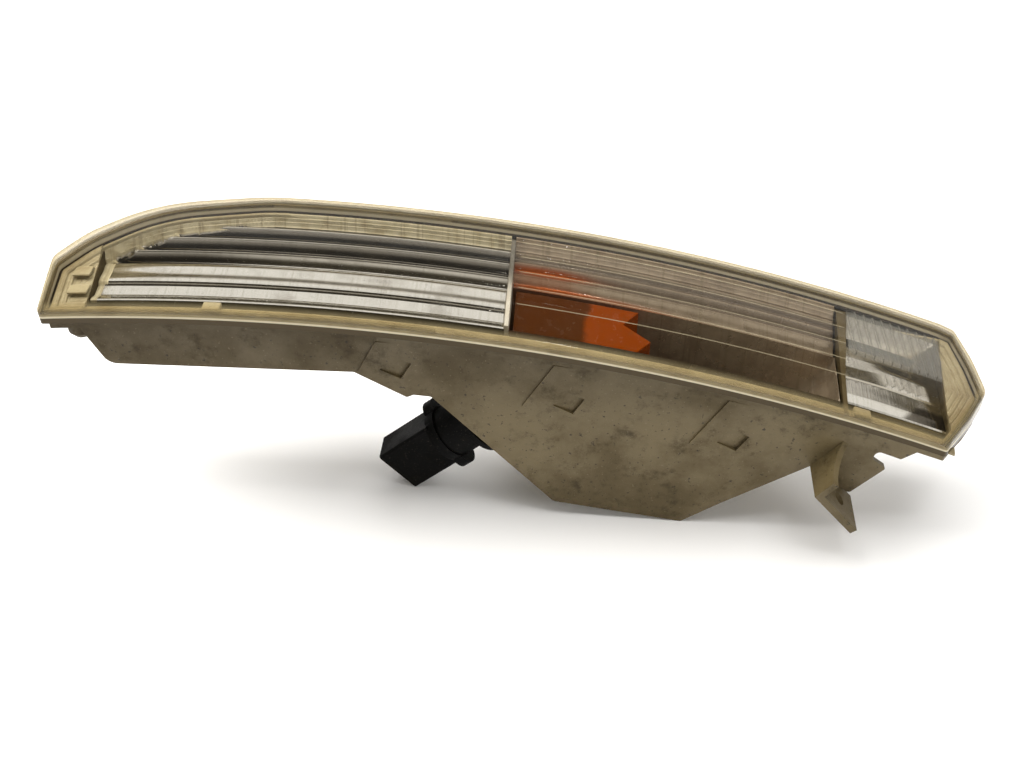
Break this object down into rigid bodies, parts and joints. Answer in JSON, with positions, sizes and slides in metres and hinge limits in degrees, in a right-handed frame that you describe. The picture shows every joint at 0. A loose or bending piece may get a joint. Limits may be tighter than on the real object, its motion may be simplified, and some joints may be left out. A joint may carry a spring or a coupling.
{
  "type": "front turn signal lamp",
  "caption": "Long curved corner lamp with a clear fluted lens, silvered scoops, a bowl with an amber filter, a deep moulded housing, a fixing tab and a twist-lock bulb holder.",
  "frame": {"origin": "middle of the lamp's bounding box, on the surface it rests on", "axes": "+X along the lamp towards its narrow wing end, +Y from the lower wall to the upper wall, +Z from the back out through the lens"},
  "size_m": [0.4098, 0.079, 0.1304],
  "materials": {
    "clear_lens": "clear moulded plastic, yellowed and dusty at the edges",
    "clear_prism": "clear moulded plastic with fine ridges",
    "amber": "clear amber plastic",
    "housing": "fine eroded mould texture with dust and grime",
    "silvered": "bright vacuum-metallised plastic",
    "trim": "yellowed plastic with a fine grain",
    "bead": "dark sealing bead",
    "holder_black": "black plastic with a soft sheen",
    "seal_ring": "matt rubber",
    "terminals": "tinned contact blades",
    "bulb_foot": "pale moulded base",
    "bulb_glass": "clear thin glass",
    "wire": "fine metal wire",
    "bridge": "pressed glass bead",
    "vent": "matt rubber"
  },
  "bodies": {
    "lamp_body": {"lens": "clear_lens", "housing": "housing", "lens_seal": "bead", "silver_reflector": "silvered", "amber_reflector": "silvered", "end_mirror": "silvered", "side_prism": "clear_prism", "divider": "silvered", "amber_filter": "amber", "trim_left": "trim", "trim_right": "trim", "vent_cap": "vent"},
    "bulb_unit": {"holder": "holder_black", "holder_seal": "seal_ring", "contact_left": "terminals", "contact_mid": "terminals", "contact_right": "terminals", "bulb_base": "bulb_foot", "bulb_glass": "bulb_glass", "filament_main": "wire", "filament_low": "wire", "filament_bridge": "bridge"}
  },
  "joints": [
    {"name": "holder_twist", "type": "hinge", "parent": "lamp_body", "child": "bulb_unit", "pos_m": [-0.01816, -0.001, 0.04611], "axis": [0.7473, 0, 0.6644], "range_deg": [0, 45]}
  ]
}
